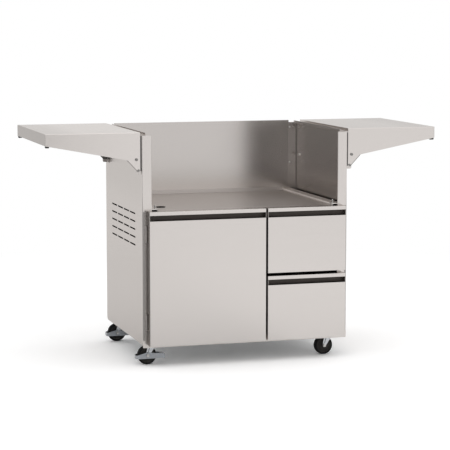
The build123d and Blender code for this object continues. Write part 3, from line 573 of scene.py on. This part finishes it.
def turned_ring(name, section, centre, axes, finish):
    """Ring with a closed section of (radius, width), turned about the last of three axes."""
    count = len(section)
    points = []
    faces = []
    for turn in range(TURNS):
        angle = 2 * math.pi * turn / TURNS
        spoke = math.cos(angle) * axes[0] + math.sin(angle) * axes[1]
        here = turn * count
        there = (turn + 1) % TURNS * count
        for corner, (radius, width) in enumerate(section):
            points.append(centre + radius * spoke + width * axes[2])
            after = (corner + 1) % count
            faces.append((here + corner, here + after, there + after, there + corner))
    mesh = bpy.data.meshes.new(name)
    mesh.from_pydata(points, [], faces)
    shell = bmesh.new()
    shell.from_mesh(mesh)
    bmesh.ops.recalc_face_normals(shell, faces=shell.faces)
    shell.to_mesh(mesh)
    shell.free()
    mesh.shade_smooth()
    mesh.set_sharp_from_angle(angle=SMOOTH_UP_TO)
    mesh.materials.append(finish)
    return place_in_scene(name, mesh)


tyre_section = both_sides(TYRE_HALF)
core_section = both_sides(core_half())
for corner in ("front_left", "front_right", "rear_left", "rear_right"):
    wheel_node = f"{corner}_caster_wheel"
    wheel_low, wheel_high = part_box(wheel_node)
    axle_centre = (wheel_low + wheel_high) / 2
    tyre = turned_ring(f"{corner}_tyre", tyre_section, axle_centre, ABOUT_Y, tyre_rubber)
    core = turned_ring(f"{corner}_wheel_core", core_section, axle_centre, ABOUT_Y, core_plastic)
    for piece, slot in ((tyre, "caster_tread"), (core, "catch_plastic")):
        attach(piece, f"{corner}_wheel")
        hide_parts(wheel_node)

hole_centre = Vector((*GAS_HOLE, deck_top))
grommet = turned_ring("gas_line_grommet", GROMMET_SECTION, hole_centre, ABOUT_Z, tyre_rubber)
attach(grommet, "cabinet")


# Screws

HEAD_SIDE = 0.28           # height of a head's side, crown and socket, for a radius of 1
HEAD_CROWN = 0.3
HEAD_SOCKET = 0.3
SOCKET_RADIUS = 0.42       # socket in a head of radius 1
HEAD_CORNERS = 20
HEAD_STEPS = 4
FLANGE_SCREW = 0.0036      # head radius
FLANGE_SCREW_X = 0.388
FLANGE_SCREW_HEIGHTS = (0.881, 0.730, 0.550, 0.360, 0.170)
PLATE_BOLT = 0.0050
PLATE_BOLT_SPREAD = (-0.029, 0.029)
DRAWER_SCREW = 0.0042
DRAWER_SCREW_X = (0.120, 0.335)
DRAWER_SCREW_RISE = (0.030, 0.135)


def screw_pattern():
    """Pan head with a round socket on each point, turned to the point's facing."""
    screws = Pattern("pan_head_screws")
    points = screws.size("Points", "NodeSocketGeometry")
    radius = screws.size("Head Radius")
    side = screws.size("Side Height")
    crown = screws.size("Crown")
    socket = screws.size("Socket Depth")
    counts = {"Vertices": HEAD_CORNERS, "Side Segments": 1, "Fill Segments": HEAD_STEPS}
    rounds = counts | {"Radius": radius, "Depth": side}
    disc = screws.node("GeometryNodeMeshCylinder", {"fill_type": "TRIANGLE_FAN"}, rounds)
    place = screws.node("GeometryNodeInputPosition")
    height = screws.node("ShaderNodeSeparateXYZ", {}, {"Vector": place}, output="Z")
    level = screws.vector("MULTIPLY", place, (1.0, 1.0, 0.0))
    out = screws.vector("LENGTH", level, output="Value") / radius
    upper = screws.node("ShaderNodeMath", {"operation": "GREATER_THAN"}, {0: height, 1: 0.0})
    rise = 0.5 * side + upper * crown * (1.0 - out * out)
    lift = screws.node("ShaderNodeCombineXYZ", {}, {"Z": rise})
    domed = screws.node("GeometryNodeSetPosition", {}, {"Geometry": disc, "Offset": lift})
    inner = screws.node("ShaderNodeMath", {"operation": "LESS_THAN"}, {0: out, 1: SOCKET_RADIUS})
    on_top = screws.node("ShaderNodeMath", {"operation": "GREATER_THAN"}, {0: height, 1: 0.9 * side})
    down = screws.node("ShaderNodeCombineXYZ", {}, {"Z": -1.0})
    cut = {"Mesh": domed, "Selection": inner * on_top, "Offset": down, "Offset Scale": socket,
           "Individual": False}
    head = screws.node("GeometryNodeExtrudeMesh", {"mode": "FACES"}, cut)
    named = {"data_type": "FLOAT_VECTOR"}
    facing = screws.node("GeometryNodeInputNamedAttribute", named, {"Name": "facing"})
    turn = screws.node("FunctionNodeAlignRotationToVector", {"axis": "Z"}, {"Vector": facing})
    copies = {"Points": points, "Instance": head, "Rotation": turn}
    return screws.close(screws.node("GeometryNodeInstanceOnPoints", {}, copies))


def set_screws(name, pattern, places, head, body):
    """Screws of one body, each at a place and facing a way, kept as one plain mesh."""
    points = bpy.data.meshes.new(name)
    points.from_pydata([place for place, way in places], [], [])
    facing = points.attributes.new("facing", "FLOAT_VECTOR", "POINT")
    for item, (place, way) in zip(facing.data, places):
        item.vector = way
    screws = place_in_scene(name, points)
    growth = screws.modifiers.new("screws", "NODES")
    growth.node_group = pattern.links
    sizes = {"Head Radius": head, "Side Height": HEAD_SIDE * head, "Crown": HEAD_CROWN * head,
             "Socket Depth": HEAD_SOCKET * head}
    for label, value in sizes.items():
        growth[pattern.inputs[label]] = value
    growth[pattern.inputs["Finish"]] = bolt_steel
    bpy.context.view_layer.update()
    grown = screws.evaluated_get(bpy.context.evaluated_depsgraph_get())
    mesh = bpy.data.meshes.new_from_object(grown)
    mesh.name = name
    screws.modifiers.remove(growth)
    screws.data = mesh
    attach(screws, body)


pan_heads = screw_pattern()
flange_face = flange_back - SHEET
flange_places = [((side * FLANGE_SCREW_X, flange_face, height), -Y_WAY)
                 for side in (-1, 1) for height in FLANGE_SCREW_HEIGHTS]
set_screws("rear_flange_screws", pan_heads, flange_places, FLANGE_SCREW, "cabinet")

plates_low, plates_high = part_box("caster_plates")
plate_face = plates_high.z - PLATE_STEEL
stems = [(x, y) for x in (plates_low.x + PLATE_HALF, plates_high.x - PLATE_HALF)
         for y in (plates_low.y + PLATE_HALF, plates_high.y - PLATE_HALF)]
plate_places = [((x + aside, y + ahead, plate_face), -Z_WAY)
                for x, y in stems for aside in PLATE_BOLT_SPREAD for ahead in PLATE_BOLT_SPREAD]
set_screws("caster_plate_bolts", pan_heads, plate_places, PLATE_BOLT, "cabinet")

for drawer in ("upper_drawer", "lower_drawer"):
    box_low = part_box(f"{drawer}_box")[0]
    box_face = box_low.y + BOX_SHEET
    drawer_places = [((x, box_face, box_low.z + rise), Y_WAY)
                     for x in DRAWER_SCREW_X for rise in DRAWER_SCREW_RISE]
    set_screws(f"{drawer}_front_screws", pan_heads, drawer_places, DRAWER_SCREW, drawer)


# Floor, light and camera

WHITE = (1.0, 1.0, 1.0, 1.0)
PAPER_GREY = (0.90, 0.90, 0.90, 1.0)
PAPER_WHITE = (0.93, 0.93, 0.93, 1.0)
PAPER_SEEN = (1.13, 1.13, 1.13, 1.0)   # to the eye and in reflections
FLOOR_HALF = 40.0
FLOOR_FADE = (1.3, 3.0)    # distances over which the floor turns plain white
CARD_LEVEL = 0.002
CAMERA_PLACE = (-2.083, -6.9465, 1.394)
CAMERA_TILT = math.radians(83.041)
CAMERA_TURN = math.radians(-16.691)
CAMERA_LENS = 143.2
CAMERA_SENSOR = 36.0


def flat_sheet(name, corners, finish):
    """Stage piece of one face."""
    mesh = bpy.data.meshes.new(name)
    mesh.from_pydata(corners, [], [(0, 1, 2, 3)])
    mesh.materials.append(finish)
    sheet = place_in_scene(name, mesh)
    return sheet


def level_corners(x, y, z):
    """Corners between two limits on X and Y."""
    return [(x[0], y[0], z), (x[1], y[0], z), (x[1], y[1], z), (x[0], y[1], z)]


def white_floor():
    """Paper floor that keeps its shadows and turns white further out, to the eye and in reflections."""
    paper = new_finish("studio_paper")
    seen = paper.node("ShaderNodeLightPath", output="Is Camera Ray")
    mirrored = paper.node("ShaderNodeLightPath", output="Is Glossy Ray")
    through = paper.node("ShaderNodeLightPath", output="Is Transmission Ray")
    shown = paper.limits(seen + mirrored + through, 0.0, 1.0)
    pale = paper.mix(paper.noise(30.0), PAPER_GREY, PAPER_WHITE)
    sheet = paper.node("ShaderNodeBsdfDiffuse", {}, {"Color": paper.mix(shown, pale, PAPER_SEEN)})
    white = paper.node("ShaderNodeEmission", {}, {"Color": WHITE, "Strength": 1.0})
    here = paper.node("ShaderNodeTexCoord", output="Object")
    far = paper.limits(paper.vector("LENGTH", here, output="Value"), *FLOOR_FADE)
    faded = paper.node("ShaderNodeMixShader", {}, {0: far * shown, 1: sheet, 2: white})
    paper.node("ShaderNodeOutputMaterial", {}, {"Surface": faded})
    reach = (-FLOOR_HALF, FLOOR_HALF)
    flat_sheet("studio_floor", level_corners(reach, reach, 0.0), paper.owner)


def white_room():
    """World of even white light."""
    world = bpy.data.worlds.new("white_room")
    bpy.context.scene.world = world
    room = Finish(world)
    backdrop = room.node("ShaderNodeBackground", {}, {"Color": WHITE, "Strength": 1.0})
    room.node("ShaderNodeOutputWorld", {}, {"Surface": backdrop})


def soft_lamp(name, place, aim, size, watts):
    """Lamp with a face of (width, height), turned to a point."""
    lamp = bpy.data.lights.new(name, "AREA")
    lamp.shape = "RECTANGLE"
    lamp.size, lamp.size_y = size
    lamp.energy = watts
    holder = place_in_scene(name, lamp)
    holder.location = place
    holder.rotation_euler = (Vector(aim) - Vector(place)).to_track_quat("-Z", "Y").to_euler()


def grey_card(name, corners, tone, far_tone=None, fade=None):
    """Card that only reflections see, which paints shade into them, with another tone at the start of the
    fade along Y if one is given.
    """
    card_shade = new_finish(f"{name}_felt")
    grey = (tone, tone, tone)
    colour = card_shade.mix(card_shade.noise(40.0), shade(grey, 0.9), shade(grey, 1.1))
    if far_tone:
        far_grey = (far_tone, far_tone, far_tone, 1.0)
        colour = card_shade.mix(card_shade.limits(card_shade.along("Y"), *fade), far_grey, colour)
    card = flat_sheet(name, corners, card_shade.surface(base_color=colour, roughness=0.9, specular_ior_level=0.0))
    card.visible_camera = False
    card.visible_diffuse = False
    card.visible_shadow = False


def standing_card(name, place, aim, size, tone):
    """Card of (width, height) that stands on the floor and faces a point."""
    middle = Vector((*place, 0.0))
    outward = (Vector((*aim, 0.0)) - middle).normalized()
    along = outward.cross(Z_WAY) * (size[0] / 2)
    up = Z_WAY * size[1]
    grey_card(name, [middle - along + up, middle + along + up, middle + along, middle - along], tone)


def lying_card(name, x, y, tone, far_tone=None):
    """Card between two limits on each axis, just above the floor."""
    grey_card(name, level_corners(x, y, CARD_LEVEL), tone, far_tone, y)


def photo_camera():
    """Camera at the photograph's view."""
    data = bpy.data.cameras.new("photo_camera")
    data.lens = CAMERA_LENS
    data.sensor_width = CAMERA_SENSOR
    camera = place_in_scene("photo_camera", data)
    camera.location = CAMERA_PLACE
    camera.rotation_euler = (CAMERA_TILT, 0.0, CAMERA_TURN)
    bpy.context.scene.camera = camera


white_floor()
white_room()
# Grey cards that only reflections see: painted shade in the reflections of the door, drawers, posts and left
# side
standing_card("camera_side_card", place=(-1.25, -3.0), aim=(0.15, 0.2), size=(1.9, 1.6), tone=0.25)
lying_card("camera_side_floor", x=(-1.7, -0.45), y=(-3.0, -0.55), tone=0.22)
lying_card("door_foot_floor", x=(-0.4, 0.27), y=(-3.2, -0.36), tone=0.77, far_tone=0.96)
lying_card("drawer_foot_floor", x=(0.27, 1.1), y=(-3.2, -0.36), tone=0.93, far_tone=0.96)
lying_card("side_foot_floor", x=(-1.6, -0.43), y=(-0.45, 3.0), tone=0.95)
soft_lamp("front_softbox", place=(0.9, -2.7, 3.4), aim=(0.9, -2.6, 0.0), size=(4.0, 3.0), watts=20.0)
photo_camera()
bpy.context.scene.view_settings.view_transform = "Standard"
